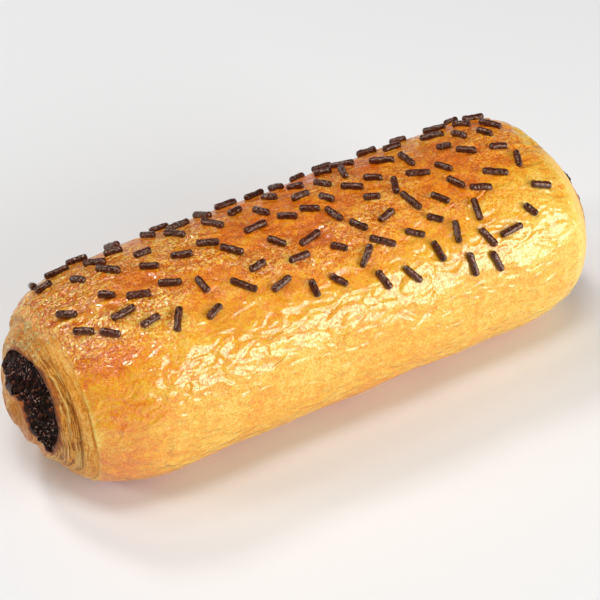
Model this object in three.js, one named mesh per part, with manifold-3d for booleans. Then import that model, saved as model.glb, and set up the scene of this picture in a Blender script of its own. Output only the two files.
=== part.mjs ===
// Pain au chocolat: a baked roll of layered dough round a curl of dark chocolate that shows
// at both ends, with chocolate sprinkles on its glazed top. Millimetres, +X along the roll,
// +Z up, and the origin under the middle of the flat base.

import * as THREE from 'three';
import { mergeVertices } from 'three/addons/utils/BufferGeometryUtils.js';
import Module from 'manifold-3d';

const wasm = await Module();
wasm.setup();

const { degToRad, lerp, smoothstep, clamp } = THREE.MathUtils;

// The roll: a soft, slightly squared section that rests on a flat base
const LENGTH = 140;
const WIDTH = 50.6;
const ROUND_HEIGHT = 45.4;
const BASE_SHARE = 0.88;
const SQUARENESS = 2.25;
const WIDENING = 0.017;
const HALF = LENGTH / 2;
const AXIS_HEIGHT = (BASE_SHARE * ROUND_HEIGHT) / 2;

// Its ends: the crust's rim, the domed face inside it, and the shoulder that leads to it.
// The crust stands a little proud of the face, which has a groove inside its outer layer.
const LEFT_END = { side: -1, rim: 0.832, dome: 11.1, power: 1.39, shoulder: 17.8 };
const RIGHT_END = { side: 1, rim: 0.915, dome: 8.2, power: 2.02, shoulder: 15.0 };
const SHOULDER_POWER = 2.2;
const LIP = 0.45;
const GROOVE = { depth: 0.7, lean: degToRad(27.7), width: degToRad(5) };

// Unevenness of the crust: waves, shallow hollows at the back and over the right rim, and
// a fuller place in front of that rim, with a depth below zero. Layers coil round on the ends.
const SWELL = { height: 0.25, along: 41, phase: 2.1, lean: 0.7 };
const DENTS = { depth: 0.12, along: 23, round: 5 };
const HOLLOWS = [
  { depth: 0.4, x: -20, half: 45, turn: degToRad(62), spread: degToRad(28) },
  { depth: 1.2, x: 62, half: 9, turn: degToRad(98), spread: degToRad(30) },
  { depth: -0.6, x: 64, half: 9, turn: degToRad(141), spread: degToRad(30) },
];
const LAYERS = { depth: 0.45, pitch: 4.6, phase: 1.8 };

// The chocolate: a curl in section, between two turns of dough
const CURL = { from: 24, to: 210, height: 22, reach: 10, bulge: 4.2, fall: 0.9, thick: 8.4, tip: 0.6 };
const CURL_BULGE = { from: 0.31, to: 0.7 };
const CURL_BLUNTNESS = 0.35;
const LEFT_RECESS = 0.7;
const RIGHT_SWELL = 1.4;
const CRUMB = { height: 0.35, size: 4.5, slant: 0.5 };
const CLEARANCE = 0.3;
const CUT_MARGIN = 10;

// The sprinkles, and the band of the top that they are spread over
const SPRINKLE = { radius: 0.8, shortest: 3.6, longest: 6.1, sunk: 0.38, point: 0.35 };
const SPRINKLE_COUNT = 104;
const SPRINKLE_SPACING = 5.3;
const SPRINKLE_TRIES = 9000;
const SEED = 20;
const SLANT = { share: 0.6, from: degToRad(15), to: degToRad(80) };
const BAND = { left: -56, right: 57, peak: 38, back: 44, frontLeft: 114, frontPeak: 152, frontRight: 129 };

// How finely the solids are divided
const SIDES = 44;
const BODY_STEPS = 30;
const DOME_RINGS = 15;
const CURL_STEPS = 16;
const ROD_SIDES = 6;

function makeRandom(seed) {
  let state = seed;
  return () => {
    state = (Math.imul(state, 1664525) + 1013904223) >>> 0;
    return state / 4294967296;
  };
}

// The skin of the roll

function endAt(x) {
  return x < 0 ? LEFT_END : RIGHT_END;
}

function bodyShare(x) {
  const end = endAt(x);
  const start = HALF - end.dome - end.shoulder;
  const reach = clamp((Math.abs(x) - start) / end.shoulder, 0, 1);
  return 1 - (1 - end.rim) * reach ** SHOULDER_POWER;
}

function unevenness(x, turn) {
  const swell = Math.sin((2 * Math.PI * x) / SWELL.along + SWELL.phase * Math.sin(turn));
  const dents = Math.sin((2 * Math.PI * x) / DENTS.along + DENTS.round * turn);
  let height = SWELL.height * swell * Math.cos(2 * turn + SWELL.lean) + DENTS.depth * dents;
  for (const hollow of HOLLOWS) {
    const off = ((x - hollow.x) / hollow.half) ** 2 + ((turn - hollow.turn) / hollow.spread) ** 2;
    height -= hollow.depth * Math.exp(-off);
  }
  return height;
}

// turn is the angle round the roll: 0 at the back, 90 degrees on top, 180 at the front.
// share is the part of the full radius that the skin has there.
function skin(x, turn, share) {
  const c = Math.cos(turn);
  const s = Math.sin(turn);
  const square = (Math.abs(c) ** SQUARENESS + Math.abs(s) ** SQUARENESS) ** (-1 / SQUARENESS);
  const size = square * (1 + (WIDENING * x) / HALF);
  const across = (WIDTH / 2) * size * c;
  const up = (ROUND_HEIGHT / 2) * size * s;
  const scale = share * (1 + unevenness(x, turn) / Math.hypot(across, up));
  return new THREE.Vector3(x, across * scale, Math.max(up * scale + AXIS_HEIGHT, 0));
}

function bodyPoint(x, turn) {
  return skin(x, turn, bodyShare(x));
}

// Layers coil round the end faces as a spiral wave, which fades at the rim and the middle,
// and lean is the angle of the face's profile at the point, from 0 at the rim to 90 degrees.
function coil(point, turn, share, lean) {
  const radius = Math.hypot(point.y, point.z - AXIS_HEIGHT);
  const fade = 4 * share * (1 - share);
  const wave = Math.sin((2 * Math.PI * radius) / LAYERS.pitch - turn + LAYERS.phase);
  const groove = Math.exp(-(((lean - GROOVE.lean) / GROOVE.width) ** 2));
  return LAYERS.depth * fade * wave - GROOVE.depth * groove;
}

function crumb(point) {
  const y = (2 * Math.PI * point.y) / CRUMB.size;
  const z = (2 * Math.PI * point.z) / CRUMB.size;
  return CRUMB.height * Math.sin(y + CRUMB.slant * z) * Math.cos(z - CRUMB.slant * y);
}

// Points from the pole of a domed end to its rim, and over the crust's lip
function domeProfile(end, recess, swell) {
  const points = [];
  const rim = (end.rim - LIP / AXIS_HEIGHT) * swell;
  for (let i = 0; i <= DOME_RINGS; i += 1) {
    const lean = (Math.PI / 2) * (1 - i / DOME_RINGS);
    const share = i === 0 ? 0 : rim * Math.cos(lean) ** (2 / end.power);
    const x = HALF - end.dome - recess + end.dome * Math.sin(lean) ** (2 / end.power);
    points.push(new THREE.Vector2(share, end.side * x));
  }
  points.push(new THREE.Vector2(end.rim * swell, end.side * (HALF - end.dome - LIP / 3)));
  return points;
}

// A closed roll. ends gives its domes' recess and swell, and relief their unevenness along X.
function rollGeometry(ends, relief) {
  const profile = domeProfile(LEFT_END, ends.leftRecess, 1);
  const from = LEFT_END.dome - HALF;
  const to = HALF - RIGHT_END.dome;
  for (let i = 1; i < BODY_STEPS; i += 1) {
    const x = lerp(from, to, i / BODY_STEPS);
    profile.push(new THREE.Vector2(bodyShare(x), x));
  }
  profile.push(...domeProfile(RIGHT_END, 0, ends.rightSwell).reverse());
  const geometry = new THREE.LatheGeometry(profile, SIDES);
  geometry.rotateZ(-Math.PI / 2);
  const position = geometry.getAttribute('position');
  const vertex = new THREE.Vector3();
  for (let i = 0; i < position.count; i += 1) {
    vertex.fromBufferAttribute(position, i);
    const turn = Math.atan2(vertex.z, vertex.y);
    const share = Math.hypot(vertex.y, vertex.z);
    const point = skin(vertex.x, turn, share);
    const end = endAt(vertex.x);
    if (Math.abs(vertex.x) > HALF - end.dome) {
      const inward = Math.min(1, share / end.rim);
      point.x += end.side * relief(point, turn, inward, Math.acos(inward ** (end.power / 2)));
    }
    position.setXYZ(i, point.x, point.y, point.z);
  }
  return geometry;
}

// The curl of chocolate, as a section that runs along the roll. grow widens it all round.

function curlReach(t) {
  const rise = CURL.bulge * smoothstep(t, CURL_BULGE.from, CURL_BULGE.to);
  return CURL.reach + rise - CURL.fall * smoothstep(t, CURL_BULGE.to, 1);
}

function curlThickness(t) {
  return CURL.tip + (CURL.thick - CURL.tip) * Math.sin(Math.PI * t) ** CURL_BLUNTNESS;
}

function curlGeometry(grow) {
  const overhang = grow / CURL.reach;
  const outer = [];
  const inner = [];
  for (let i = 0; i <= CURL_STEPS; i += 1) {
    const t = i / CURL_STEPS;
    const angle = lerp(degToRad(CURL.from) - overhang, degToRad(CURL.to) + overhang, t);
    const direction = new THREE.Vector2(Math.cos(angle), Math.sin(angle));
    const reach = curlReach(t) + grow;
    outer.push(direction.clone().multiplyScalar(reach));
    inner.push(direction.clone().multiplyScalar(reach - curlThickness(t) - 2 * grow));
  }
  const length = LENGTH + 2 * CUT_MARGIN;
  const shape = new THREE.Shape([...outer, ...inner.reverse()]);
  const geometry = new THREE.ExtrudeGeometry(shape, { depth: length, bevelEnabled: false });
  const frame = new THREE.Matrix4().makeBasis(
    new THREE.Vector3(0, 1, 0),
    new THREE.Vector3(0, 0, 1),
    new THREE.Vector3(1, 0, 0),
  );
  frame.setPosition(-length / 2, 0, CURL.height);
  return geometry.applyMatrix4(frame);
}

// The sprinkles: rods laid on the skin at random, no two closer than their spacing

function frontEdge(x) {
  if (x < BAND.peak) {
    return lerp(BAND.frontLeft, BAND.frontPeak, (x - BAND.left) / (BAND.peak - BAND.left));
  }
  return lerp(BAND.frontPeak, BAND.frontRight, (x - BAND.peak) / (BAND.right - BAND.peak));
}

function sprinklePlaces() {
  const random = makeRandom(SEED);
  const places = [];
  for (let i = 0; i < SPRINKLE_TRIES && places.length < SPRINKLE_COUNT; i += 1) {
    const x = lerp(BAND.left, BAND.right, random());
    const angle = lerp(BAND.back, BAND.frontPeak, random());
    const heading = random();
    const size = random();
    const turn = degToRad(angle);
    const point = bodyPoint(x, turn);
    const crowded = places.some((p) => p.point.distanceTo(point) < SPRINKLE_SPACING);
    if (angle < frontEdge(x) && !crowded) {
      places.push({ x, turn, point, heading, size });
    }
  }
  return places;
}

// Most lie slantwise to the roll, and the rest point any way.
function headingAngle(draw) {
  if (draw < SLANT.share) {
    return lerp(SLANT.from, SLANT.to, draw / SLANT.share);
  }
  return lerp(-Math.PI / 2, Math.PI / 2, (draw - SLANT.share) / (1 - SLANT.share));
}

function sprinkleGeometry({ x, turn, point, heading, size }) {
  const length = lerp(SPRINKLE.shortest, SPRINKLE.longest, size);
  const profile = [
    new THREE.Vector2(0, -length / 2),
    new THREE.Vector2(SPRINKLE.radius, SPRINKLE.point - length / 2),
    new THREE.Vector2(SPRINKLE.radius, length / 2 - SPRINKLE.point),
    new THREE.Vector2(0, length / 2),
  ];
  const along = bodyPoint(x + 1, turn).sub(bodyPoint(x - 1, turn)).normalize();
  const nudge = 1 / AXIS_HEIGHT;
  const round = bodyPoint(x, turn + nudge).sub(bodyPoint(x, turn - nudge)).normalize();
  const normal = new THREE.Vector3().crossVectors(round, along).normalize();
  const angle = headingAngle(heading);
  const axis = along.clone().multiplyScalar(Math.cos(angle));
  axis.addScaledVector(new THREE.Vector3().crossVectors(along, normal), Math.sin(angle)).normalize();
  const side = new THREE.Vector3().crossVectors(axis, normal);
  const frame = new THREE.Matrix4().makeBasis(side, axis, normal);
  frame.setPosition(point.clone().addScaledVector(normal, SPRINKLE.radius - SPRINKLE.sunk));
  return new THREE.LatheGeometry(profile, ROD_SIDES).applyMatrix4(frame);
}

// Joining and cutting

function toSolid(geometry) {
  geometry.deleteAttribute('normal');
  geometry.deleteAttribute('uv');
  const merged = mergeVertices(geometry);
  const triangles = [];
  for (let i = 0; i < merged.index.count; i += 3) {
    const [a, b, c] = [0, 1, 2].map((k) => merged.index.getX(i + k));
    if (a !== b && b !== c && c !== a) {
      triangles.push(a, b, c);
    }
  }
  const vertProperties = merged.getAttribute('position').array;
  const triVerts = Uint32Array.from(triangles);
  return new wasm.Manifold(new wasm.Mesh({ numProp: 3, vertProperties, triVerts }));
}

function toGeometry(solid) {
  const { vertProperties, triVerts } = solid.getMesh();
  const geometry = new THREE.BufferGeometry();
  geometry.setAttribute('position', new THREE.BufferAttribute(vertProperties, 3));
  geometry.setIndex(new THREE.BufferAttribute(triVerts, 1));
  geometry.computeVertexNormals();
  return geometry;
}

function makeDough() {
  let solid = toSolid(rollGeometry({ leftRecess: 0, rightSwell: 1 }, coil));
  solid = solid.subtract(toSolid(curlGeometry(CLEARANCE)));
  for (const place of sprinklePlaces()) {
    solid = solid.add(toSolid(sprinkleGeometry(place)));
  }
  return toGeometry(solid);
}

function makeFilling() {
  const core = toSolid(rollGeometry({ leftRecess: LEFT_RECESS, rightSwell: RIGHT_SWELL }, crumb));
  return toGeometry(core.intersect(toSolid(curlGeometry(0))));
}

const crust = new THREE.MeshStandardMaterial({ color: 0xdc9636, roughness: 0.35, metalness: 0 });
const chocolate = new THREE.MeshStandardMaterial({ color: 0x331b14, roughness: 0.6, metalness: 0 });

const dough = new THREE.Mesh(makeDough(), crust);
dough.name = 'dough';
const filling = new THREE.Mesh(makeFilling(), chocolate);
filling.name = 'chocolate_filling';

const pastry = new THREE.Group();
pastry.add(dough, filling);

export default pastry;
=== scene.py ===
# Pain au chocolat: the real crust, layered ends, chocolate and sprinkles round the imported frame.
# Forms are worked out in millimetres along the frame's axes, and become metres in make_object.

import math

import bpy
import numpy as np
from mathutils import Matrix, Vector


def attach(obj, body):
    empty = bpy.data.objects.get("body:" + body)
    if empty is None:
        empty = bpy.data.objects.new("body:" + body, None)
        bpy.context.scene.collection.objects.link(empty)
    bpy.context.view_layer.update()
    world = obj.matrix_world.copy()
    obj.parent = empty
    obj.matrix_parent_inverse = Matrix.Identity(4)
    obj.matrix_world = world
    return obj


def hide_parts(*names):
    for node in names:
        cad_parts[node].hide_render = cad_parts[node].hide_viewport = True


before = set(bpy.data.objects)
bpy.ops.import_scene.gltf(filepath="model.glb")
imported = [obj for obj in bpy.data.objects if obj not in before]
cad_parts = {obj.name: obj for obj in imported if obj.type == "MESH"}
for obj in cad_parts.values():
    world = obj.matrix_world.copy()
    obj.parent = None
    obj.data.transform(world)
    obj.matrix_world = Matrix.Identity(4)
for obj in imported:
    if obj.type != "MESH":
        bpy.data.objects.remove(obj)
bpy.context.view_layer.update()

MM = 0.001
TAU = 2 * math.pi

# The roll, as in the frame
LENGTH = 140.0
WIDTH = 50.6
ROUND_HEIGHT = 45.4
BASE_SHARE = 0.88
SQUARENESS = 2.25
WIDENING = 0.017
HALF = LENGTH / 2
AXIS_HEIGHT = BASE_SHARE * ROUND_HEIGHT / 2

LEFT = {"side": -1, "rim": 0.832, "dome": 11.1, "power": 1.39, "shoulder": 17.8}
RIGHT = {"side": 1, "rim": 0.915, "dome": 8.2, "power": 2.02, "shoulder": 15.0}
SHOULDER_POWER = 2.2
LIP = 0.45
GROOVE = {"depth": 0.7, "lean": math.radians(27.7), "width": math.radians(5)}

SWELL = {"height": 0.25, "along": 41, "phase": 2.1, "lean": 0.7}
DENTS = {"depth": 0.12, "along": 23, "round": 5}
HOLLOWS = [
    {"depth": 0.4, "x": -20, "half": 45, "turn": math.radians(62), "spread": math.radians(28)},
    {"depth": 1.2, "x": 62, "half": 9, "turn": math.radians(98), "spread": math.radians(30)},
    {"depth": -0.6, "x": 64, "half": 9, "turn": math.radians(141), "spread": math.radians(30)},
]
LAYERS = {"depth": 0.45, "pitch": 4.6, "phase": 1.8}

# The curl of chocolate
CURL = {"from": 24, "to": 210, "height": 22, "reach": 10, "bulge": 4.2, "fall": 0.9, "thick": 8.4, "tip": 0.6}
CURL_BULGE = {"from": 0.31, "to": 0.7}
CURL_BLUNTNESS = 0.35
RIGHT_SWELL = 1.4

# The sprinkles
SPRINKLE = {"radius": 0.8, "shortest": 3.6, "longest": 6.1, "sunk": 0.38}
SPRINKLE_COUNT = 104
SPRINKLE_SPACING = 5.3
SPRINKLE_TRIES = 9000
SEED = 20
SLANT = {"share": 0.6, "from": math.radians(15), "to": math.radians(80)}
BAND = {"left": -56, "right": 57, "peak": 38, "back": 44}
BAND_FRONT = {"left": 114, "peak": 152, "right": 129}


def smoothstep(value, low, high):
    t = np.clip((value - low) / (high - low), 0, 1)
    return t * t * (3 - 2 * t)


def hill(value, middle, spread):
    return np.exp(-(((value - middle) / spread) ** 2))


def lerp(low, high, t):
    return low + (high - low) * t


# Steady noise from -1 to 1 at points in millimetres. stretch scales the grain along X, Y and Z.

def lattice(ix, iy, iz, seed):
    n = (ix * 374761393 + iy * 668265263 + iz * 1440662683 + seed * 1274126177) & 0xFFFFFFFF
    n = ((n ^ (n >> 13)) * 1274126177) & 0xFFFFFFFF
    n = n ^ (n >> 16)
    return (n & 0xFFFF) / 32767.5 - 1


def noise(points, size, seed, stretch=(1, 1, 1)):
    p = points / (size * np.array(stretch, float))
    cell = np.floor(p).astype(np.int64)
    f = p - cell
    u = f * f * f * (f * (f * 6 - 15) + 10)
    total = 0
    for corner in range(8):
        bits = np.array([corner & 1, corner >> 1 & 1, corner >> 2 & 1])
        weight = np.prod(np.where(bits, u, 1 - u), axis=-1)
        ix, iy, iz = np.moveaxis(cell + bits, -1, 0)
        total = total + weight * lattice(ix, iy, iz, seed)
    return total


def rough(points, size, seed, octaves=3, stretch=(1, 1, 1)):
    """Noise with finer octaves on it, each half as large and half as high."""
    total = 0
    for i in range(octaves):
        total = total + noise(points, size / 2 ** i, seed + 17 * i, stretch) / 2 ** i
    return total / 1.75


# The skin of the roll. turn is 0 at the back, 90 degrees on top and 180 at the front.

def body_share(x):
    share = np.ones_like(x)
    for end in (LEFT, RIGHT):
        start = HALF - end["dome"] - end["shoulder"]
        reach = np.clip((x * end["side"] - start) / end["shoulder"], 0, 1)
        share = share - (1 - end["rim"]) * reach ** SHOULDER_POWER
    return share


def unevenness(x, turn):
    swell = np.sin(TAU * x / SWELL["along"] + SWELL["phase"] * np.sin(turn))
    dents = np.sin(TAU * x / DENTS["along"] + DENTS["round"] * turn)
    height = SWELL["height"] * swell * np.cos(2 * turn + SWELL["lean"]) + DENTS["depth"] * dents
    for hollow in HOLLOWS:
        off = ((x - hollow["x"]) / hollow["half"]) ** 2 + ((turn - hollow["turn"]) / hollow["spread"]) ** 2
        height = height - hollow["depth"] * np.exp(-off)
    return height


def skin(x, turn, share):
    c, s = np.cos(turn), np.sin(turn)
    square = (np.abs(c) ** SQUARENESS + np.abs(s) ** SQUARENESS) ** (-1 / SQUARENESS)
    size = square * (1 + WIDENING * x / HALF)
    across = WIDTH / 2 * size * c
    up = ROUND_HEIGHT / 2 * size * s
    scale = share * (1 + unevenness(x, turn) / np.hypot(across, up))
    flat = np.maximum(up * scale + AXIS_HEIGHT, 0)
    return np.stack(np.broadcast_arrays(x, across * scale, flat), axis=-1)


def body_point(x, turn):
    return skin(x, turn, body_share(x))


def coil(point, turn, share, lean):
    radius = np.hypot(point[..., 1], point[..., 2] - AXIS_HEIGHT)
    fade = 4 * share * (1 - share)
    wave = np.sin(TAU * radius / LAYERS["pitch"] - turn + LAYERS["phase"])
    groove = hill(lean, GROOVE["lean"], GROOVE["width"])
    return LAYERS["depth"] * fade * wave - GROOVE["depth"] * groove


# The grid of the dough: stations from the left pole over the rims to the right pole

AROUND = 304
LEFT_RINGS = 66
RIGHT_RINGS = 46
LIP_RINGS = 4
BODY_RINGS = 192


def dome_stations(end, rings):
    """x, share and lean of a domed face, from its pole to its rim."""
    lean = np.linspace(math.pi / 2, 0, rings)
    share = (end["rim"] - LIP / AXIS_HEIGHT) * np.abs(np.cos(lean)) ** (2 / end["power"])
    x = HALF - end["dome"] + end["dome"] * np.sin(lean) ** (2 / end["power"])
    return end["side"] * x, share, lean


def lip_stations(end):
    """The crust's rounded edge, from the face to the crust."""
    a = np.linspace(0, math.pi / 2, LIP_RINGS + 2)[1:]
    share = end["rim"] - LIP / AXIS_HEIGHT * (1 - np.sin(a))
    x = HALF - end["dome"] - LIP / 3 * (1 - np.cos(a))
    return end["side"] * x, share, np.zeros_like(a)


def stations():
    """x, share of the body's section, lean, and 1 on the faces, for each ring of the grid."""
    left, right = dome_stations(LEFT, LEFT_RINGS), dome_stations(RIGHT, RIGHT_RINGS)
    left_lip, right_lip = lip_stations(LEFT), lip_stations(RIGHT)
    body_x = np.linspace(left_lip[0][-1], right_lip[0][-1], BODY_RINGS + 2)[1:-1]
    body = body_x, body_share(body_x), np.zeros_like(body_x)
    rows = [left, left_lip, body, [row[::-1] for row in right_lip], [row[::-1] for row in right]]
    x, share, lean = (np.concatenate([row[k] for row in rows]) for k in range(3))
    face = np.zeros(len(x))
    face[:LEFT_RINGS] = 1
    face[-RIGHT_RINGS:] = 1
    return x, share, lean, face


def grid_normals(points):
    along = np.gradient(points, axis=0)
    around = np.roll(points, -1, axis=1) - np.roll(points, 1, axis=1)
    normal = np.cross(around, along)
    length = np.linalg.norm(normal, axis=-1, keepdims=True)
    return normal / np.maximum(length, 1e-9)


# Relief of the crust. Places are in millimetres along X and degrees of turn, and pairs are
# where something starts and is whole, or its least and most.

CREASE_SEED = 7
CREASE_COUNT = 46
CREASE = {"x": (-54, 56), "turn": (25, 150), "length": (5, 17), "slant": (-9, 9), "depth": (0.1, 0.3)}
CREASE_WIDTH = (0.5, 1.0)
CREASE_FRONT = {"turn": 115, "share": 0.6}
CREASE_SIDES = {"height": 0.55, "away": 1.5, "sharpness": 2}
CREASE_WARP = {"shift": 0.35, "size": 3.5}
ARC_RADIUS = 23
FOLDS = [
    {"from": (-58.8, 95), "to": (-51.5, 99.3), "depth": -0.5, "width": 0.7},
    {"from": (-58.5, 90.5), "to": (-50.5, 95), "depth": 0.45, "width": 0.6},
    {"from": (-58.4, 86.5), "to": (-57.2, 87.5), "depth": -0.5, "width": 1.2},
    {"from": (-58.0, 80.5), "to": (-52.0, 84.5), "depth": 0.45, "width": 0.6},
    {"from": (-58.5, 74), "to": (-50.0, 77), "depth": 0.4, "width": 0.7},
    {"from": (-59.0, 66), "to": (-54.0, 70), "depth": 0.4, "width": 0.7},
    {"from": (-47.0, 97), "to": (-41.0, 100), "depth": -0.3, "width": 0.9},
    {"from": (60.5, 96), "to": (52.0, 92), "depth": 0.3, "width": 0.8},
    {"from": (60.5, 128), "to": (54.0, 121), "depth": 0.25, "width": 0.8},
]

WRINKLE = {"height": 0.16, "size": 4.2}
PUCKER = {"height": 0.2, "size": 7.5}
BLISTER = {"height": 0.09, "on_top": 0.1, "size": 1.7}
CRUMPLE = {"height": 0.6, "size": 3.0, "x": (34, 54), "turn": 80, "spread": 32}
WRINKLED_TOP = {"back": (5, 55), "front": (120, 165), "front_loss": 0.55, "least": 0.25}
WRINKLED_ENDS = {"x": (40, 58), "gain": 0.8}
BLISTERED_TOP = {"back": (20, 50), "front": (112, 145)}
FLAT_BASE = (0.5, 6)


def make_random(seed):
    state = seed

    def draw():
        nonlocal state
        state = (state * 1664525 + 1013904223) % 2 ** 32
        return state / 2 ** 32

    return draw


def arc_length(degrees):
    """Distance round the crust to a turn."""
    return degrees * math.radians(1) * ARC_RADIUS


def creases():
    """The folds that are placed, and long shallow creases drawn at random."""
    draw = make_random(CREASE_SEED)
    found = list(FOLDS)
    for _ in range(CREASE_COUNT):
        x = lerp(*CREASE["x"], draw())
        turn = lerp(*CREASE["turn"], draw())
        length = lerp(*CREASE["length"], draw() ** 2)
        slant = lerp(*CREASE["slant"], draw())
        share = 1 if turn < CREASE_FRONT["turn"] else CREASE_FRONT["share"]
        depth = lerp(*CREASE["depth"], draw()) * share
        width = lerp(*CREASE_WIDTH, draw())
        found.append({"from": (x, turn), "to": (x + length, turn + slant), "depth": depth, "width": width})
    return found


def crease_relief(points, x, turn):
    """A groove with raised sides along each crease."""
    arc = arc_length(np.degrees(turn))
    shift = CREASE_WARP["shift"] * noise(points, CREASE_WARP["size"], 91)
    height = np.zeros_like(x)
    for crease in creases():
        (x0, turn0), (x1, turn1) = crease["from"], crease["to"]
        arc0, arc1 = arc_length(turn0), arc_length(turn1)
        dx, da = x1 - x0, arc1 - arc0
        along = np.clip(((x - x0) * dx + (arc - arc0) * da) / (dx ** 2 + da ** 2), 0, 1)
        off = np.hypot(x - x0 - along * dx, arc - arc0 - along * da) + shift
        fade = np.sin(math.pi * np.clip(along, 0.04, 0.96)) ** 0.5
        near = np.abs(off) / crease["width"]
        beside = (near - CREASE_SIDES["away"]) ** 2
        sides = CREASE_SIDES["height"] * np.exp(-CREASE_SIDES["sharpness"] * beside)
        height += crease["depth"] * fade * (sides - np.exp(-near ** 2))
    return height


def crust_relief(points, x, turn):
    """Height of the crust's wrinkles, blisters and creases at points on the smooth skin."""
    degrees = np.degrees(turn)
    front_loss = WRINKLED_TOP["front_loss"] * smoothstep(degrees, *WRINKLED_TOP["front"])
    top = smoothstep(degrees, *WRINKLED_TOP["back"]) * (1 - front_loss)
    share = lerp(WRINKLED_TOP["least"], 1, top)
    ends = 1 + WRINKLED_ENDS["gain"] * smoothstep(np.abs(x), *WRINKLED_ENDS["x"])
    wrinkles = 1 - 2 * np.abs(rough(points, WRINKLE["size"], 3, 3, (3.0, 1, 1)))
    pucker = rough(points, PUCKER["size"], 11, 3, (1.6, 1, 1))
    blisters = noise(points, BLISTER["size"], 23, (1.5, 1, 1))
    blistered = 1 - smoothstep(degrees, *BLISTERED_TOP["front"])
    blistered = blistered * smoothstep(degrees, *BLISTERED_TOP["back"])
    height = WRINKLE["height"] * wrinkles * share * ends + PUCKER["height"] * pucker * share
    height = height + (BLISTER["height"] + BLISTER["on_top"] * blistered) * blisters
    crumpled = smoothstep(-x, *CRUMPLE["x"]) * hill(degrees, CRUMPLE["turn"], CRUMPLE["spread"])
    height = height + CRUMPLE["height"] * crumpled * rough(points, CRUMPLE["size"], 13, 2)
    return (height + crease_relief(points, x, turn)) * smoothstep(points[..., 2], *FLAT_BASE)


# Relief of the layered faces, by the depth in from the rim

LAYER_EDGE = {"start": 3.6, "pitch": 0.95, "depth": 0.2, "from": (3.2, 4.2), "least": 0.3}
FACE_GROOVE = {"at": 3.05, "width": 0.24, "depth": 0.55, "turn": 158, "spread": 40, "least": 0.25}
FACE_WARP = {"wide": 0.55, "fine": 0.06}
FACE_GRAIN = 0.07
OVERLAP = {"deep": 4.2, "ragged": 1.6, "blur": 1.4, "front": (88, 102), "back": (15, 35)}
OVERLAP_WRINKLES = {"coarse": 0.35, "folded": 0.2}


def overlap(points, turn, deep):
    """1 where the glazed crust reaches over the rim on the upper part of a face."""
    degrees = np.degrees(turn) % 360
    limit = OVERLAP["deep"] + OVERLAP["ragged"] * noise(points, 3, 51)
    upper = (1 - smoothstep(degrees, *OVERLAP["front"])) * smoothstep(degrees, *OVERLAP["back"])
    return upper * (1 - smoothstep(deep, limit - OVERLAP["blur"], limit + OVERLAP["blur"]))


def face_relief(points, inward, turn, rim_radius):
    """Height of the layers' edges on a face, the dark lines between them, the depth and the glaze."""
    degrees = np.degrees(turn) % 360
    warp = FACE_WARP["wide"] * noise(points, 8, 41) + FACE_WARP["fine"] * noise(points, 2.2, 43)
    deep = (1 - inward) * rim_radius + warp
    open_side = lerp(FACE_GROOVE["least"], 1, hill(degrees, FACE_GROOVE["turn"], FACE_GROOVE["spread"]))
    groove = hill(deep, FACE_GROOVE["at"], FACE_GROOVE["width"]) * open_side
    phase = (deep - LAYER_EDGE["start"]) / LAYER_EDGE["pitch"]
    gap = 1 - np.abs(np.sin(math.pi * phase)) ** 0.6
    patchy = lerp(LAYER_EDGE["least"], 1, smoothstep(noise(points, 5, 49), -0.5, 0.5))
    gap = gap * patchy * smoothstep(deep, *LAYER_EDGE["from"])
    grain = FACE_GRAIN * rough(points, 1.1, 45, 2)
    layered = grain - FACE_GROOVE["depth"] * groove - LAYER_EDGE["depth"] * gap
    folded = 1 - 2 * np.abs(noise(points, 2.4, 55, (1, 1.6, 1)))
    wrinkles = OVERLAP_WRINKLES["coarse"] * rough(points, 3.0, 53, 3) + OVERLAP_WRINKLES["folded"] * folded
    glazed = overlap(points, turn, deep)
    line = np.clip(groove + gap, 0, 1) * (1 - glazed)
    return lerp(layered, wrinkles, glazed), line, deep, glazed


# The curl of chocolate in section: t runs along it, and each side is ragged.

def curl_reach(t):
    rise = CURL["bulge"] * smoothstep(t, CURL_BULGE["from"], CURL_BULGE["to"])
    return CURL["reach"] + rise - CURL["fall"] * smoothstep(t, CURL_BULGE["to"], 1)


def curl_thickness(t):
    return CURL["tip"] + (CURL["thick"] - CURL["tip"]) * np.abs(np.sin(math.pi * t)) ** CURL_BLUNTNESS


RAGGED = {"outer": 0.16, "inner": 0.5, "run": 38}
INSET = {"depth": 0.4, "turn": (100, 125), "until": 0.97}
TONGUE = {"radius": 4.5, "start": (40, 75), "end": (88, 107)}


def curl_section(t, grow=0.0):
    """Outer and inner points of the curl's section, in Y and Z."""
    overhang = grow / CURL["reach"]
    angle = lerp(math.radians(CURL["from"]) - overhang, math.radians(CURL["to"]) + overhang, t)
    place = np.stack([t * RAGGED["run"], np.zeros_like(t), np.zeros_like(t)], axis=-1)
    fade = np.sin(math.pi * t) ** 0.5
    outer = curl_reach(t) + RAGGED["outer"] * fade * rough(place, 2.0, 61, 2) + grow
    inner = curl_reach(t) - curl_thickness(t) + RAGGED["inner"] * fade * rough(place, 3.0, 67, 3) - grow
    degrees = np.degrees(angle)
    outer = outer - INSET["depth"] * smoothstep(degrees, *INSET["turn"]) * (t < INSET["until"])
    tongue = smoothstep(degrees, *TONGUE["start"]) * (1 - smoothstep(degrees, *TONGUE["end"]))
    inner = inner + np.maximum(TONGUE["radius"] - inner, 0) * tongue
    direction = np.stack([np.cos(angle), np.sin(angle)], axis=-1)
    centre = np.array([0, CURL["height"]])
    return centre + direction * outer[..., None], centre + direction * inner[..., None]


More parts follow.
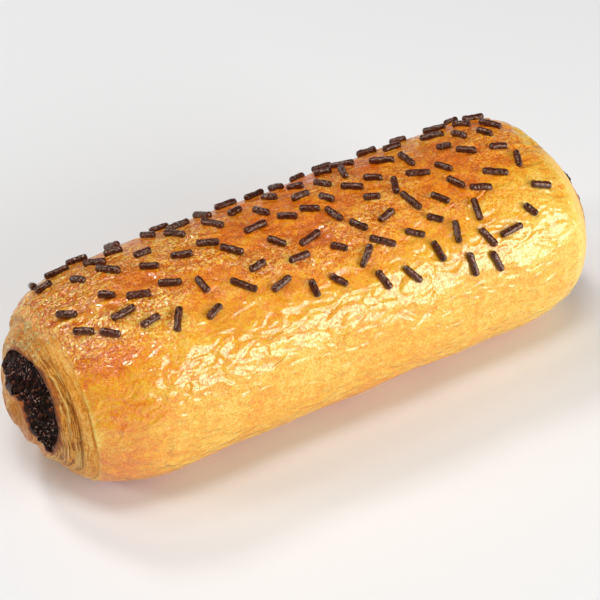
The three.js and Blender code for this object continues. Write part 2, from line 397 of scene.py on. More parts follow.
def curl_distance(points):
    """Distance of points from the curl's section, and which of them lie on its inner side."""
    y, z = points[..., 1], points[..., 2] - CURL["height"]
    angle = np.degrees(np.arctan2(z, y)) % 360
    t = np.clip((angle - CURL["from"]) / (CURL["to"] - CURL["from"]), 0, 1)
    past = np.minimum(np.abs(angle - CURL["from"]), np.abs(angle - CURL["to"]))
    past = np.where((angle > CURL["from"]) & (angle < CURL["to"]), 0, past)
    radius = np.hypot(y, z)
    outer = curl_reach(t)
    inner = outer - curl_thickness(t)
    beyond = np.maximum(np.maximum(radius - outer, inner - radius), 0)
    return np.hypot(beyond, radius * np.radians(past)), radius < (outer + inner) / 2


# Making objects

def make_object(name, vertices, faces, smooth_angle=180):
    mesh = bpy.data.meshes.new(name)
    vertices = np.asarray(vertices, float).reshape(-1, 3) * MM
    sizes = np.array([len(face) for face in faces])
    mesh.vertices.add(len(vertices))
    mesh.vertices.foreach_set("co", vertices.ravel())
    mesh.loops.add(int(sizes.sum()))
    mesh.loops.foreach_set("vertex_index", np.concatenate([np.asarray(face) for face in faces]))
    mesh.polygons.add(len(faces))
    mesh.polygons.foreach_set("loop_start", np.concatenate([[0], np.cumsum(sizes)[:-1]]))
    mesh.update(calc_edges=True)
    mesh.validate()
    piece = bpy.data.objects.new(name, mesh)
    bpy.context.scene.collection.objects.link(piece)
    smooth(piece, smooth_angle)
    return piece


def smooth(piece, angle):
    piece.data.shade_smooth()
    if angle < 180:
        piece.data.set_sharp_from_angle(angle=math.radians(angle))


def set_attribute(piece, name, values):
    attribute = piece.data.attributes.new(name, "FLOAT", "POINT")
    attribute.data.foreach_set("value", np.asarray(values, np.float32))


def vertex_array(piece):
    values = np.zeros(len(piece.data.vertices) * 3)
    piece.data.vertices.foreach_get("co", values)
    return values.reshape(-1, 3) / MM


def close_grid(points):
    """Vertices and faces of a grid of rings whose first and last rings are poles."""
    rings = points[1:-1]
    vertices = np.concatenate([points[:1, 0], rings.reshape(-1, 3), points[-1:, 0]])
    last = len(vertices) - 1
    index = 1 + np.arange(rings.shape[0] * rings.shape[1]).reshape(rings.shape[:2])
    after = np.roll(index, -1, axis=1)
    quads = np.stack([index[:-1], after[:-1], after[1:], index[1:]], axis=-1).reshape(-1, 4)
    start = [[0, b, a] for a, b in zip(index[0], after[0])]
    end = [[last, a, b] for a, b in zip(index[-1], after[-1])]
    return vertices, list(quads) + start + end


def make_dough():
    """The whole roll as one closed mesh, with what its materials read kept at its points."""
    turn = np.linspace(-math.pi, math.pi, AROUND, endpoint=False)
    rows = stations()
    shape = (len(rows[0]), AROUND)
    x, share, lean, face = (np.broadcast_to(row[:, None], shape) for row in rows)
    turn = np.broadcast_to(turn, shape)
    points = skin(x, turn, share)
    height = crust_relief(points, x, turn)
    line = np.zeros(shape)
    deep = np.zeros(shape)
    glazed = np.zeros(shape)
    for end in (LEFT, RIGHT):
        here = (face > 0) & (x * end["side"] > 0)
        inward = np.clip(share / end["rim"], 0, 1)
        points[..., 0] += np.where(here, end["side"] * coil(points, turn, inward, lean), 0)
        relief = face_relief(points, inward, turn, end["rim"] * ROUND_HEIGHT / 2)
        height, line, deep, glazed = (
            np.where(here, on_face, before) for on_face, before in zip(relief, (height, line, deep, glazed))
        )
    normal = grid_normals(points)
    normal[0] = (-1, 0, 0)
    normal[-1] = (1, 0, 0)
    points = points + normal * height[..., None]
    points[..., 2] = np.maximum(points[..., 2], 0)
    piece = make_object("crust", *close_grid(points))
    masks = {"height": height, "line": line, "face": face, "deep": deep, "glazed": glazed}
    for name, values in masks.items():
        set_attribute(piece, name, np.concatenate([values[:1, 0], values[1:-1].ravel(), values[-1:, 0]]))
    return piece


TUNNEL_STEPS = 150
TUNNEL_GAP = 0.06
TUNNEL_PAST = 8


def curl_loop():
    """The tunnel's outline as a closed loop in Y and Z: out along the outer side, back along the inner."""
    t = np.linspace(0, 1, TUNNEL_STEPS + 1)
    outer, inner = curl_section(t, TUNNEL_GAP)
    return np.concatenate([outer, inner[::-1]])


def cut_tunnel(piece):
    """Cuts the chocolate's tunnel through the dough."""
    loop = curl_loop()
    count = len(loop)
    reach = HALF + TUNNEL_PAST
    near = np.column_stack([np.full(count, -reach), loop])
    far = np.column_stack([np.full(count, reach), loop])
    sides = [[i, (i + 1) % count, (i + 1) % count + count, i + count] for i in range(count)]
    caps = []
    for i in range(TUNNEL_STEPS):
        a, b, c, d = i, i + 1, count - 2 - i, count - 1 - i
        caps.append([d, c, b, a])
        caps.append([a + count, b + count, c + count, d + count])
    cutter = make_object("tunnel", np.concatenate([near, far]), sides + caps)
    modifier = piece.modifiers.new("tunnel", "BOOLEAN")
    modifier.operation = "DIFFERENCE"
    modifier.solver = "MANIFOLD"
    modifier.object = cutter
    apply_modifiers(piece)
    bpy.data.objects.remove(cutter)


def apply_modifiers(piece):
    graph = bpy.context.evaluated_depsgraph_get()
    mesh = bpy.data.meshes.new_from_object(piece.evaluated_get(graph))
    piece.modifiers.clear()
    mesh.materials.clear()
    piece.data = mesh


def read_attribute(piece, name):
    values = np.zeros(len(piece.data.vertices))
    piece.data.attributes[name].data.foreach_get("value", values)
    return values


# Masks that the dough's materials read. Pairs are where a mask starts and is whole, in millimetres or
# degrees of turn. At the left and the base they are given as counted leftwards and downwards.

TOP_EDGE = {"turn": 123, "right": -10, "right_x": (20, 58), "middle": 8, "middle_x": -12, "spread": 16}
TOP_BLUR = {"above": 24, "below": 20, "blotch": 8}
TOP_BACK = {"turn": (5, 42), "blotch": 9}
BROWN = {"top": 0.74, "top_right": -0.04, "side": 0.2, "shoulder": 0.16, "left": 0.28, "right": -0.1}
BROWN_PLACE = {"top_right": (48, 62), "shoulder": (115, 160), "left": (40, 54), "right": (20, 50)}
BAKED_BASE = {"brown": 0.35, "z": (-3.5, -0.6)}
LIP_HIGHLIGHT = {"brown": -0.3, "width": 0.3, "turn": (92, 108), "right": (-2.2, -0.6)}
PALE_GLAZE = -0.25
RIM_HIGHLIGHT = {"left": (0.1, 0.6), "right": (1.2, 3), "right_x": (40, 50)}
SOAKED = {"most": 0.75, "reach": (0.05, 1.1), "speckle": 0.6}
SMEAR = {"reach": (0.2, 1.3), "speckle": 1.1}
GRAINY = {"turn": (110, 140), "x": (-30, 40), "patch": (-0.3, 0.2)}
GRAINY_CORNER = {"most": 0.8, "x": (38, 48), "turn": (88, 104)}
CREASED_CORNER = {"x": (40, 54), "turn": (86, 100)}
TANGLE = {"front": (92, 116), "back": (10, 30)}


def brownness(points, x, turn, glazed):
    """How dark the crust is baked: most on top, and less where glaze reaches over the rims, with a paler line
    along the crust's edge at the rims that is a painted highlight.
    """
    blotch = rough(points, 16, 71, 3, (2.2, 1, 1))
    edge = TOP_EDGE["turn"] + TOP_EDGE["right"] * smoothstep(x, *TOP_EDGE["right_x"])
    edge = edge + TOP_EDGE["middle"] * hill(x, TOP_EDGE["middle_x"], TOP_EDGE["spread"])
    edge = edge + TOP_BLUR["blotch"] * blotch
    top = 1 - smoothstep(turn, edge - TOP_BLUR["above"], edge + TOP_BLUR["below"])
    top = top * smoothstep(turn + TOP_BACK["blotch"] * blotch, *TOP_BACK["turn"])
    side = BROWN["side"] + BROWN["shoulder"] * (1 - smoothstep(turn, *BROWN_PLACE["shoulder"]))
    side = side + BROWN["left"] * smoothstep(-x, *BROWN_PLACE["left"])
    side = side + BROWN["right"] * smoothstep(x, *BROWN_PLACE["right"])
    peak = BROWN["top"] + BROWN["top_right"] * smoothstep(x, *BROWN_PLACE["top_right"])
    rim = HALF - np.where(x < 0, LEFT["dome"], RIGHT["dome"])
    # A painted highlight along the crust's edge: on the front half at the left rim, and near the right rim.
    lip_highlight = hill(np.abs(x) - rim, 0, LIP_HIGHLIGHT["width"]) * smoothstep(turn, *LIP_HIGHLIGHT["turn"]) * (x < 0)
    lip_highlight = lip_highlight + smoothstep(x - rim, *LIP_HIGHLIGHT["right"])
    base = BAKED_BASE["brown"] * smoothstep(-points[:, 2], *BAKED_BASE["z"])
    return lerp(side, peak, top) + base + LIP_HIGHLIGHT["brown"] * lip_highlight + PALE_GLAZE * glazed


def graininess(points, x, turn):
    """1 where the crust is blistered and gets painted glints and specks: in patches over the top, and at the
    left corner.
    """
    grainy = (1 - smoothstep(turn, *GRAINY["turn"])) * lerp(0.6, 1, smoothstep(-x, *GRAINY["x"]))
    patches = smoothstep(rough(points, 8, 79, 3, (1.6, 1, 1)), *GRAINY["patch"])
    corner = smoothstep(-x, *GRAINY_CORNER["x"]) * (1 - smoothstep(turn, *GRAINY_CORNER["turn"]))
    return np.maximum(grainy * lerp(0.15, 1, patches), GRAINY_CORNER["most"] * corner)


def chocolate_smear(points, distance, inside):
    """1 where chocolate has smeared the dough, and less where it has only soaked in."""
    speckle = rough(points, 1.1, 77, 3)
    soaked = 1 - smoothstep(distance + SOAKED["speckle"] * speckle, *SOAKED["reach"])
    smeared = 1 - smoothstep(distance + SMEAR["speckle"] * speckle, *SMEAR["reach"])
    return np.where(inside, smeared, SOAKED["most"] * soaked)


def finish_dough(piece):
    """Works out the masks from where each point is, and gives the layered faces their own material."""
    points = vertex_array(piece)
    x, y, z = points[:, 0], points[:, 1], points[:, 2] - AXIS_HEIGHT
    full = skin(x, np.arctan2(z, y), 1)
    deep_inside = np.hypot(y, z) < 0.75 * np.hypot(full[:, 1], full[:, 2] - AXIS_HEIGHT)
    face = read_attribute(piece, "face")
    glazed = read_attribute(piece, "glazed")
    layered = deep_inside | ((face > 0.5) & (glazed < 0.35))
    for polygon in piece.data.polygons:
        polygon.material_index = int(layered[list(polygon.vertices)].all())
    turn = np.degrees(np.arctan2(z, y))
    turn = np.where(turn < -90, turn + 360, turn)
    deep = read_attribute(piece, "deep")
    # Lighter along the rims of the faces: a painted highlight at the crust's edge, wider at the right rim.
    right_rim_highlight = smoothstep(x, *RIM_HIGHLIGHT["right_x"]) * (1 - smoothstep(deep, *RIM_HIGHLIGHT["right"]))
    distance, inside = curl_distance(points)
    grainy = graininess(points, x, turn)
    corner = smoothstep(-x, *CREASED_CORNER["x"]) * (1 - smoothstep(turn, *CREASED_CORNER["turn"]))
    masks = {
        "brown": brownness(points, x, turn, glazed),
        "grainy": grainy,
        "smear": chocolate_smear(points, distance, inside),
        "rim_highlight": np.maximum(1 - smoothstep(deep, *RIM_HIGHLIGHT["left"]), right_rim_highlight),
        "crumpled": np.maximum(corner, 0.5 * grainy),
        "inner": np.where(inside, 1.0, 0.0),
        "tangle": (1 - smoothstep(turn, *TANGLE["front"])) * smoothstep(turn, *TANGLE["back"]),
        "pale": smoothstep(face, 0.4, 0.6) * (1 - glazed),
    }
    for name, values in masks.items():
        set_attribute(piece, name, values)


# The chocolate

CAP_ALONG = 170
CAP_ACROSS = 56
FILLING_STATIONS = 6
RECESS = {"outer": 0.95, "inner": 0.1}
CRUMBS = {"coarse": 0.7, "flakes": 0.45, "fine": 0.35}
CHOCOLATE_EDGE = {"drop": 0.45, "width": 0.35, "run": 34}


def dome_x(end, points, swell):
    """Distance along X of a domed face at points in Y and Z."""
    turn = np.arctan2(points[..., 1] - AXIS_HEIGHT, points[..., 0])
    rim = skin(np.full(turn.shape, end["side"] * (HALF - end["dome"])), turn, end["rim"] * swell)
    full = np.hypot(rim[..., 1], rim[..., 2] - AXIS_HEIGHT)
    share = np.clip(np.hypot(points[..., 0], points[..., 1] - AXIS_HEIGHT) / full, 0, 1)
    return HALF - end["dome"] + end["dome"] * (1 - share ** end["power"]) ** (1 / end["power"])


def chocolate_end(end, place, t, w):
    """Points of the crumbly end of the chocolate."""
    swell = 1 if end is LEFT else RIGHT_SWELL
    x = dome_x(end, place, swell)
    points = np.concatenate([(end["side"] * x)[..., None], place], axis=-1)
    if end is LEFT:
        x = x - lerp(RECESS["outer"], RECESS["inner"], w)
    coarse = rough(points, 2.6, 81, 3)
    flakes = 1 - 2 * np.abs(noise(points, 1.5, 85, (1, 1.7, 0.8)))
    fine = rough(points, 0.8, 87, 2)
    x = x + CRUMBS["coarse"] * coarse + CRUMBS["flakes"] * flakes + CRUMBS["fine"] * fine
    side = np.minimum(np.minimum(w, 1 - w) * CURL["thick"], np.minimum(t, 1 - t) * CHOCOLATE_EDGE["run"])
    x = x - CHOCOLATE_EDGE["drop"] * np.exp(-side / CHOCOLATE_EDGE["width"])
    points[..., 0] = end["side"] * x
    return points


def make_filling():
    """The curl of chocolate from end to end: two crumbly caps, and plain sides inside the dough."""
    t = np.linspace(0, 1, CAP_ALONG + 1)
    w = np.linspace(0, 1, CAP_ACROSS + 1)
    outer, inner = curl_section(t)
    place = outer[:, None] + (inner - outer)[:, None] * w[None, :, None]
    tt, ww = np.meshgrid(t, w, indexing="ij")
    left = chocolate_end(LEFT, place, tt, ww).reshape(-1, 3)
    right = chocolate_end(RIGHT, place, tt, ww).reshape(-1, 3)
    far = len(left)
    grid = np.arange(far).reshape(tt.shape)
    cap = np.stack([grid[:-1, :-1], grid[:-1, 1:], grid[1:, 1:], grid[1:, :-1]], axis=-1).reshape(-1, 4)
    rim = np.concatenate([grid[:, 0], grid[-1, 1:], grid[-2::-1, -1], grid[0, -2:0:-1]])
    loops = [rim]
    middles = []
    for k in range(1, FILLING_STATIONS):
        middles.append(lerp(left[rim], right[rim], k / FILLING_STATIONS))
        loops.append(2 * far + (k - 1) * len(rim) + np.arange(len(rim)))
    loops.append(rim + far)
    faces = list(cap) + list(cap[:, ::-1] + far)
    for a, b in zip(loops[:-1], loops[1:]):
        faces += list(np.stack([a, b, np.roll(b, -1), np.roll(a, -1)], axis=-1))
    return make_object("chocolate", np.concatenate([left, right] + middles), faces, 70)


# The sprinkles

def front_edge(x):
    """The turn down to which the band of sprinkles reaches."""
    if x < BAND["peak"]:
        t = (x - BAND["left"]) / (BAND["peak"] - BAND["left"])
        return lerp(BAND_FRONT["left"], BAND_FRONT["peak"], t)
    t = (x - BAND["peak"]) / (BAND["right"] - BAND["peak"])
    return lerp(BAND_FRONT["peak"], BAND_FRONT["right"], t)


def sprinkle_places():
    draw = make_random(SEED)
    places = []
    for _ in range(SPRINKLE_TRIES):
        if len(places) == SPRINKLE_COUNT:
            break
        x = lerp(BAND["left"], BAND["right"], draw())
        angle = lerp(BAND["back"], BAND_FRONT["peak"], draw())
        heading = draw()
        size = draw()
        turn = math.radians(angle)
        point = body_point(np.float64(x), np.float64(turn))
        crowded = any(np.linalg.norm(place["point"] - point) < SPRINKLE_SPACING for place in places)
        if angle < front_edge(x) and not crowded:
            places.append({"x": x, "turn": turn, "point": point, "heading": heading, "size": size})
    return places


def heading_angle(draw):
    if draw < SLANT["share"]:
        return lerp(SLANT["from"], SLANT["to"], draw / SLANT["share"])
    return lerp(-math.pi / 2, math.pi / 2, (draw - SLANT["share"]) / (1 - SLANT["share"]))


def unit(vector):
    return vector / np.linalg.norm(vector)


def sprinkle_frame(place):
    """Centre on the real crust, and the rod's axis, side and normal."""
    x, turn = np.float64(place["x"]), np.float64(place["turn"])
    step = 1 / AXIS_HEIGHT
    along = unit(body_point(x + 1, turn) - body_point(x - 1, turn))
    around = unit(body_point(x, turn + step) - body_point(x, turn - step))
    normal = unit(np.cross(around, along))
    angle = heading_angle(place["heading"])
    axis = unit(along * math.cos(angle) + np.cross(along, normal) * math.sin(angle))
    touched = place["point"] + np.linspace(-1, 1, 5)[:, None] * SPRINKLE["shortest"] / 2 * axis
    turns = np.arctan2(touched[:, 2] - AXIS_HEIGHT, touched[:, 1])
    relief = crust_relief(touched, touched[:, 0], turns)
    lift = SPRINKLE["radius"] - SPRINKLE["sunk"] + (relief.max() + relief.mean()) / 2
    return place["point"] + normal * lift, axis, np.cross(axis, normal), normal


ROD_SIDES = 20
CAP_RINGS = 6
SHAFT_RINGS = 16
CAP = {"length": 0.62, "power": 2.2}
LUMPS = {"depth": 0.12, "size": 1.3, "fine_depth": 0.07, "fine_size": 0.65, "bend": 0.2}


def rod_profile(half):
    """Places along a rod and its radius there, from one rounded tip to the other."""
    a = np.linspace(0, math.pi / 2, CAP_RINGS + 1)
    cap = half - CAP["length"] * (1 - np.sin(a) ** (2 / CAP["power"]))
    width = np.abs(np.cos(a)) ** (2 / CAP["power"])
    shaft = np.linspace(-cap[0], cap[0], SHAFT_RINGS)[1:-1]
    along = np.concatenate([-cap[::-1], shaft, cap])
    radius = np.concatenate([width[::-1], np.ones_like(shaft), width])
    return along, SPRINKLE["radius"] * radius


def rod_rings(number, place):
    """Rings of points of one rod, from pole to pole."""
    centre, axis, side, normal = sprinkle_frame(place)
    half = lerp(SPRINKLE["shortest"], SPRINKLE["longest"], place["size"]) / 2
    along, radius = rod_profile(half)
    own_place = np.array([[number * 3.7, 0.5, 0.5]])
    bend = LUMPS["bend"] * noise(own_place, 1, 33)[0] * (1 - (along / half) ** 2)
    angle = np.linspace(0, TAU, ROD_SIDES, endpoint=False)
    ring = np.cos(angle)[:, None] * side + np.sin(angle)[:, None] * normal
    rod = centre + along[:, None, None] * axis + bend[:, None, None] * side
    rod = rod + radius[:, None, None] * ring[None]
    lumps = LUMPS["depth"] * rough(rod, LUMPS["size"], 35, 2)
    lumps = lumps + LUMPS["fine_depth"] * noise(rod, LUMPS["fine_size"], 37)
    rod = rod + (lumps * (radius / SPRINKLE["radius"])[:, None])[..., None] * ring[None]
    rod[0] = centre - axis * half
    rod[-1] = centre + axis * half
    return rod


def make_sprinkles():
    """All the sprinkles as one mesh of closed rods."""
    vertices, faces = [], []
    total = 0
    for number, place in enumerate(sprinkle_places()):
        points, rod_faces = close_grid(rod_rings(number, place))
        vertices.append(points)
        faces += [np.asarray(face)[::-1] + total for face in rod_faces]
        total += len(points)
    return make_object("sprinkles", np.concatenate(vertices), faces)


# Materials

def linear(red, green, blue):
    """A colour given in screen bytes, as the shader's linear values."""
    values = [c / 255 for c in (red, green, blue)]
    return [c / 12.92 if c <= 0.04045 else ((c + 0.055) / 1.055) ** 2.4 for c in values] + [1]


class Shader:
    """One material, with short calls for the nodes used here."""

    def __init__(self, name):
        self.material = bpy.data.materials.new(name)
        self.material.use_nodes = True
        self.tree = self.material.node_tree
        self.surface = self.tree.nodes["Principled BSDF"]
        self.place = self.node("TexCoord").outputs["Object"]

    def node(self, kind, **settings):
        node = self.tree.nodes.new("ShaderNode" + kind)
        for name, value in settings.items():
            setattr(node, name, value)
        return node

    def link(self, value, socket):
        if isinstance(value, bpy.types.NodeSocket):
            self.tree.links.new(value, socket)
        else:
            socket.default_value = value

    def math(self, operation, a, b=0.0):
        node = self.node("Math", operation=operation)
        self.link(a, node.inputs[0])
        self.link(b, node.inputs[1])
        return node.outputs[0]

    def plus(self, first, *others):
        for other in others:
            first = self.math("ADD", first, other)
        return first

    def minus(self, a, b):
        return self.math("SUBTRACT", a, b)

    def times(self, first, *others):
        for other in others:
            first = self.math("MULTIPLY", first, other)
        return first

    def most(self, a, b):
        return self.math("MAXIMUM", a, b)

    def vector(self, operation, a, b):
        node = self.node("VectorMath", operation=operation)
        self.link(a, node.inputs[0])
        self.link(b, node.inputs["Scale"] if operation == "SCALE" else node.inputs[1])
        return node.outputs[0]

    def attribute(self, name):
        return self.node("Attribute", attribute_name=name).outputs["Fac"]

    def grain(self, place, detail, distortion, roughness=0.5):
        """Noise whose grain is 1 across in the space of place."""
        node = self.node("TexNoise")
        self.link(place, node.inputs["Vector"])
        node.inputs["Scale"].default_value = 1
        node.inputs["Detail"].default_value = detail
        node.inputs["Roughness"].default_value = roughness
        node.inputs["Distortion"].default_value = distortion
        return node.outputs["Fac"]

    def noise(self, size, detail=3.0, stretch=(1, 1, 1), distortion=0.0, roughness=0.55):
        """Noise of a grain of size millimetres, stretched along X, Y and Z."""
        mapping = self.node("Mapping")
        self.link(self.place, mapping.inputs["Vector"])
        mapping.inputs["Scale"].default_value = [1 / (size * MM * s) for s in stretch]
        return self.grain(mapping.outputs[0], detail, distortion, roughness)

    def smooth_range(self, value, low, high):
        """0 below low, 1 above high, and smooth between."""
        node = self.node("MapRange", interpolation_type="SMOOTHSTEP")
        self.link(value, node.inputs["Value"])
        node.inputs["From Min"].default_value = low
        node.inputs["From Max"].default_value = high
        return node.outputs["Result"]

    def thread(self, pattern, width):
        """1 along the lines where a noise is at its middle, and 0 further from it than width."""
        off = self.math("ABSOLUTE", self.minus(pattern, 0.5))
        return self.minus(1.0, self.smooth_range(off, 0.0, width))

    def ramp(self, value, stops):
        node = self.node("ValToRGB")
        self.link(value, node.inputs[0])
        elements = node.color_ramp.elements
        while len(elements) < len(stops):
            elements.new(0.5)
        for element, (position, colour) in zip(elements, stops):
            element.position = position
            element.color = colour
        return node.outputs["Color"]

    def mix_value(self, factor, a, b):
        node = self.node("Mix", data_type="FLOAT")
        self.link(factor, node.inputs[0])
        self.link(a, node.inputs[2])
        self.link(b, node.inputs[3])
        return node.outputs[0]

    def mix(self, factor, a, b):
        node = self.node("Mix", data_type="RGBA")
        self.link(factor, node.inputs["Factor"])
        self.link(a, node.inputs[6])
        self.link(b, node.inputs[7])
        return node.outputs[2]

    def bump(self, height, depth):
        """Bump of a height from 0 to 1 that stands for depth millimetres."""
        node = self.node("Bump")
        node.inputs["Strength"].default_value = 1
        node.inputs["Distance"].default_value = depth * MM
        self.link(height, node.inputs["Height"])
        self.link(node.outputs["Normal"], self.surface.inputs["Normal"])

    def paint(self, **sockets):
        for name, value in sockets.items():
            self.link(value, self.surface.inputs[name.replace("_", " ")])


def crust_material():
    """Egg-washed crust: golden at the sides and browned on top, with painted glints and painted shade in
    specks, under a glossy uneven glaze.
    """
    s = Shader("crust")
    grainy = s.attribute("grainy")
    grain = s.noise(0.62, detail=1)
    fine = s.noise(0.34, detail=1)

    mottle = s.minus(s.noise(1.8, detail=2, stretch=(1.4, 1, 1), distortion=0.3, roughness=0.6), 0.5)
    blotches = s.minus(s.noise(9, detail=3, stretch=(2.0, 1, 1), distortion=0.5), 0.5)
    # Light specks on the grains are painted highlights, and dark dots over the pits are painted shade.
    painted_speck_light = s.most(s.smooth_range(grain, 0.5, 0.66), s.smooth_range(fine, 0.5, 0.66))
    painted_pit_shade = s.minus(1.0, s.smooth_range(fine, 0.34, 0.46))
    painted_pit_shade = s.times(painted_pit_shade, s.minus(0.36, s.times(grainy, 0.28)))
    specks = s.minus(s.minus(s.times(painted_speck_light, 0.6), painted_pit_shade), 0.2)
    raised = s.minus(s.attribute("height"), 0.15)
    brown = s.plus(s.attribute("brown"), s.times(mottle, 0.65), s.times(blotches, 0.7))
    brown = s.minus(brown, s.times(specks, s.plus(grainy, 0.45)))
    # Lighter on the raised relief and darker in its hollows.
    brown = s.minus(brown, s.times(raised, 0.65))
    colour = s.ramp(brown, [
        (0.0, linear(246, 208, 96)),
        (0.2, linear(244, 184, 44)),
        (0.45, linear(240, 156, 8)),
        (0.66, linear(238, 132, 1)),
        (0.84, linear(228, 106, 0)),
        (1.0, linear(204, 88, 0)),
    ])

    # Cream flecks, most on the grainy patches, and cream lines along the folds are painted glints.
    painted_glints = s.smooth_range(s.noise(0.7, detail=1, stretch=(1.8, 1, 1)), 0.59, 0.65)
    painted_glints = s.times(painted_glints, s.plus(s.times(grainy, 0.9), 0.05))
    folds = s.thread(s.noise(2.2, detail=2, stretch=(1.3, 1, 1), distortion=1.0), 0.035)
    folds = s.times(folds, s.attribute("crumpled"))
    colour = s.mix(s.most(painted_glints, s.times(folds, 0.8)), colour, linear(255, 212, 112))
    colour = s.mix(s.attribute("pale"), colour, linear(230, 160, 62))
    colour = s.mix(s.attribute("smear"), colour, linear(52, 22, 12))

    swells = s.noise(3.4, detail=1, stretch=(1.7, 1, 1), distortion=1.0)
    pits = s.plus(s.smooth_range(fine, 0.34, 0.44), s.smooth_range(grain, 0.36, 0.44))
    cells = s.noise(1.3, detail=1, stretch=(1.4, 1, 1), distortion=0.3)
    coarse = s.plus(s.times(cells, 3.4), s.times(grain, 0.5))
    height = s.plus(s.times(swells, 5.0), s.times(pits, 0.2), s.times(folds, 1.2), s.times(grainy, coarse))
    s.bump(height, 0.2)
    s.paint(Base_Color=colour, Roughness=0.1)
    s.paint(IOR=1.56, Specular_IOR_Level=0.95, Specular_Tint=(1, 0.95, 0.88, 1))
    return s.material


# Strands of dough on the faces, in millimetres: how long and thin, and the ring they are measured on
STRAND = {"long": 7.0, "thin": 0.36, "ring": 18}


def strands(s, deep, scale):
    """Noise drawn out round the rim, in streaks that lie at one depth in from it."""
    across = s.vector("MULTIPLY", s.place, (0, 1, 1))
    outward = s.vector("SUBTRACT", across, (0, 0, AXIS_HEIGHT * MM))
    heading = s.node("VectorMath", operation="NORMALIZE")
    s.link(outward, heading.inputs[0])
    ring = s.vector("SCALE", heading.outputs[0], STRAND["ring"] / (STRAND["long"] * scale))
    level = s.node("CombineXYZ")
    s.link(s.times(deep, 1 / (STRAND["thin"] * scale)), level.inputs["X"])
    return s.grain(s.vector("ADD", ring, level.outputs[0]), detail=1, distortion=0.3)


def layer_material():
    """The layered faces: strands of dough round the rim, a tangle on top, chocolate smeared near the curl."""
    s = Shader("layers")
    deep = s.attribute("deep")
    tangle = s.attribute("tangle")
    inner = s.attribute("inner")
    smear = s.attribute("smear")

    level = s.plus(deep, s.times(s.noise(5, detail=2), 0.8))
    coarse = s.smooth_range(strands(s, level, 0.95), 0.4, 0.6)
    close = s.smooth_range(strands(s, level, 0.55), 0.4, 0.6)
    knots = s.thread(s.noise(1.9, detail=2, distortion=1.2), 0.06)
    lines = s.mix_value(s.times(tangle, 0.75), s.mix_value(0.5, coarse, close), knots)
    inside = s.plus(s.times(s.smooth_range(deep, 2.2, 3.4), 0.65), 0.35)
    inside = s.most(inside, s.times(tangle, 1.3))
    outside_curl = s.minus(1.0, s.times(inner, 0.5))
    relief = s.times(s.minus(lines, 0.5), s.times(inside, outside_curl))

    fibre = s.noise(0.7, detail=3, distortion=0.5, roughness=0.9)
    patches = s.noise(6, detail=3)
    # Lighter along the rims and over the tangle: a painted highlight at the rim's edge, and over the tangle
    # partly its golden colour and partly painted highlight.
    edge = s.most(s.attribute("rim_highlight"), s.times(tangle, 0.8))
    tone = s.plus(s.times(fibre, 1.6), s.times(patches, 0.5), s.times(relief, 0.9), s.times(edge, 0.4))
    colour = s.ramp(s.minus(tone, 0.4), [
        (0.1, linear(144, 68, 4)),
        (0.4, linear(216, 128, 18)),
        (0.64, linear(246, 162, 44)),
        (0.95, linear(255, 208, 116)),
    ])
    colour = s.mix(s.times(s.attribute("line"), 0.6), colour, linear(140, 66, 4))
    colour = s.mix(s.times(inner, 0.4), colour, linear(190, 92, 16))
    # Cream lines along the tangle's knots are painted highlights.
    colour = s.mix(s.times(knots, tangle, 0.8), colour, linear(255, 224, 150))
    colour = s.mix(s.times(s.smooth_range(smear, 0.0, 0.4), 0.8), colour, linear(176, 78, 20))
    colour = s.mix(s.smooth_range(smear, 0.45, 0.95), colour, linear(64, 22, 8))
    s.bump(s.plus(fibre, s.times(relief, 1.6)), 0.3)
    s.paint(Base_Color=colour, Roughness=0.3)
    s.paint(IOR=1.45, Specular_IOR_Level=0.4, Specular_Tint=(1, 0.94, 0.84, 1))
    return s.material


def chocolate_material():
    """Baked dark chocolate, crumbly, with pale specks on it that are painted glints."""
    s = Shader("chocolate")
    crumbs = s.noise(0.9, detail=4, distortion=0.4, roughness=0.7)
    specks = s.noise(0.45, detail=1)
    colour = s.ramp(crumbs, [
        (0.36, linear(4, 0, 0)),
        (0.54, linear(30, 9, 4)),
        (0.7, linear(124, 64, 40)),
    ])
    # Pale specks in patches: painted glints on the crumbs.
    painted_crumb_glints = s.times(s.smooth_range(specks, 0.6, 0.68), s.smooth_range(s.noise(3, detail=2), 0.4, 0.58))
    colour = s.mix(s.times(painted_crumb_glints, 0.75), colour, linear(196, 158, 142))
    s.bump(s.plus(crumbs, s.times(specks, 0.6)), 0.4)
    s.paint(Base_Color=colour, Roughness=0.2, IOR=1.45, Specular_IOR_Level=0.07)
    return s.material


def sprinkle_material():
    """Glossy chocolate, with lumps that break up its glints."""
    s = Shader("sprinkle")
    lumps = s.noise(0.7, detail=2)
    fine = s.noise(0.35, detail=1)
    colour = s.ramp(lumps, [(0.3, linear(34, 8, 1)), (0.7, linear(94, 36, 17))])
    s.bump(s.plus(lumps, s.times(fine, 0.5)), 0.16)
    s.paint(Base_Color=colour, Roughness=0.08)
    s.paint(IOR=1.5, Specular_IOR_Level=0.8, Specular_Tint=(1, 0.78, 0.62, 1))
    return s.material


# Putting the object together

dough = make_dough()
cut_tunnel(dough)
smooth(dough, 60)
finish_dough(dough)
dough.data.materials.append(crust_material())
dough.data.materials.append(layer_material())

filling = make_filling()
filling.data.materials.append(chocolate_material())

sprinkles = make_sprinkles()
sprinkles.data.materials.append(sprinkle_material())

for piece, node, slot in (
    (dough, "dough", "crust"),
    (sprinkles, "dough", "chocolate"),
    (filling, "chocolate_filling", "chocolate"),
):
    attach(piece, "root")
    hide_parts(node)


# Stage, light and camera. Angles are azimuth and elevation in degrees, and a soft box has metres and watts.

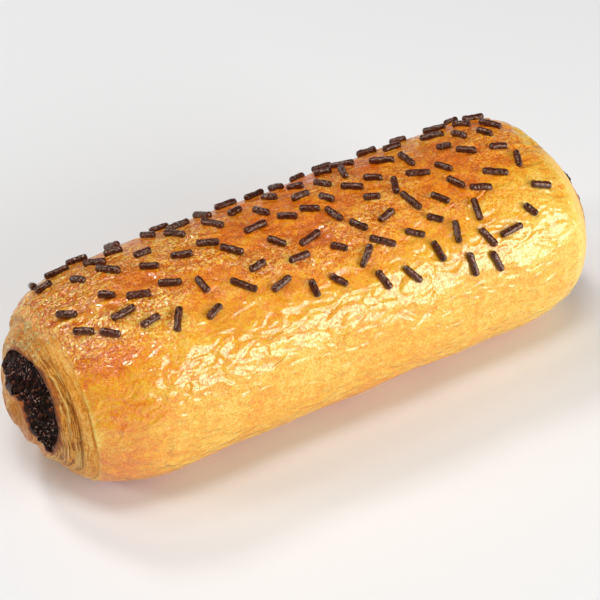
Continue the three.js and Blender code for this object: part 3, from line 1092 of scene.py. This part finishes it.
FLOOR_HALF = 3000
FLOOR_GREY = 0.86
WORLD_STRENGTH = 0.14
SOFTBOXES = [
    {"name": "key", "angles": (34, 15.5), "distance": 0.75, "size": (0.62, 0.46), "power": 5.4},
    {"name": "fill", "angles": (-110, 25), "distance": 0.9, "size": (0.2, 0.2), "power": 2.0},
    {"name": "kicker", "angles": (-125, 60), "distance": 0.9, "size": (0.15, 0.15), "power": 0.6},
    {"name": "rear", "angles": (-165, 55), "distance": 0.9, "size": (0.15, 0.15), "power": 1.9},
    {"name": "overhead", "angles": (-60, 80), "distance": 0.9, "size": (0.25, 0.25), "power": 2.5},
]


def make_floor():
    corners = [[x * FLOOR_HALF, y * FLOOR_HALF, 0] for x, y in ((-1, -1), (1, -1), (1, 1), (-1, 1))]
    floor = make_object("floor", corners, [[0, 1, 2, 3]])
    s = Shader("floor")
    s.paint(Base_Color=(FLOOR_GREY, FLOOR_GREY, FLOOR_GREY, 1), Roughness=0.9)
    floor.data.materials.append(s.material)


def towards(azimuth, elevation):
    """The direction from the roll to a light or the camera. Azimuth 0 is the front, towards -Y."""
    a, e = math.radians(azimuth), math.radians(elevation)
    return Vector((math.sin(a) * math.cos(e), -math.cos(a) * math.cos(e), math.sin(e)))


def aim(thing, location, direction):
    """Places a light or the camera so that it looks along a direction."""
    thing.location = location
    thing.rotation_mode = "QUATERNION"
    thing.rotation_quaternion = direction.to_track_quat("-Z", "Y")
    bpy.context.scene.collection.objects.link(thing)


def make_softbox(name, angles, distance, size, power):
    """An area light that faces the roll's middle."""
    data = bpy.data.lights.new(name, "AREA")
    data.shape = "RECTANGLE"
    data.size, data.size_y = size
    data.energy = power
    back = towards(*angles)
    aim(bpy.data.objects.new(name, data), Vector((0, 0, AXIS_HEIGHT * MM)) + back * distance, -back)


# The photo's camera: 30 degrees round to the left, 41 degrees up, 370 mm from the roll
VIEW_AZIMUTH = -30.39
VIEW_ELEVATION = 40.97
VIEW_CENTRE = Vector((0, 0, 25))
VIEW_DISTANCE = 369.8
PIXELS_PER_MM = 4.488
AIM_ACROSS = 0.67
AIM_UP = -4.35
FRAME_PIXELS = 600
SENSOR = 36


def make_camera():
    back = towards(VIEW_AZIMUTH, VIEW_ELEVATION)
    right = towards(VIEW_AZIMUTH + 90, 0)
    up = back.cross(right)
    eye = VIEW_CENTRE + back * VIEW_DISTANCE
    target = VIEW_CENTRE + right * AIM_ACROSS + up * AIM_UP
    data = bpy.data.cameras.new("camera")
    data.sensor_width = SENSOR
    data.lens = PIXELS_PER_MM * VIEW_DISTANCE / FRAME_PIXELS * SENSOR
    data.clip_start = 0.01
    camera = bpy.data.objects.new("camera", data)
    aim(camera, eye * MM, target - eye)
    bpy.context.scene.camera = camera


def make_world():
    world = bpy.data.worlds.new("studio")
    world.use_nodes = True
    background = world.node_tree.nodes["Background"]
    background.inputs["Color"].default_value = (1, 1, 1, 1)
    background.inputs["Strength"].default_value = WORLD_STRENGTH
    bpy.context.scene.world = world


make_floor()
for box in SOFTBOXES:
    make_softbox(**box)
make_world()
make_camera()
bpy.context.scene.view_settings.view_transform = "Standard"
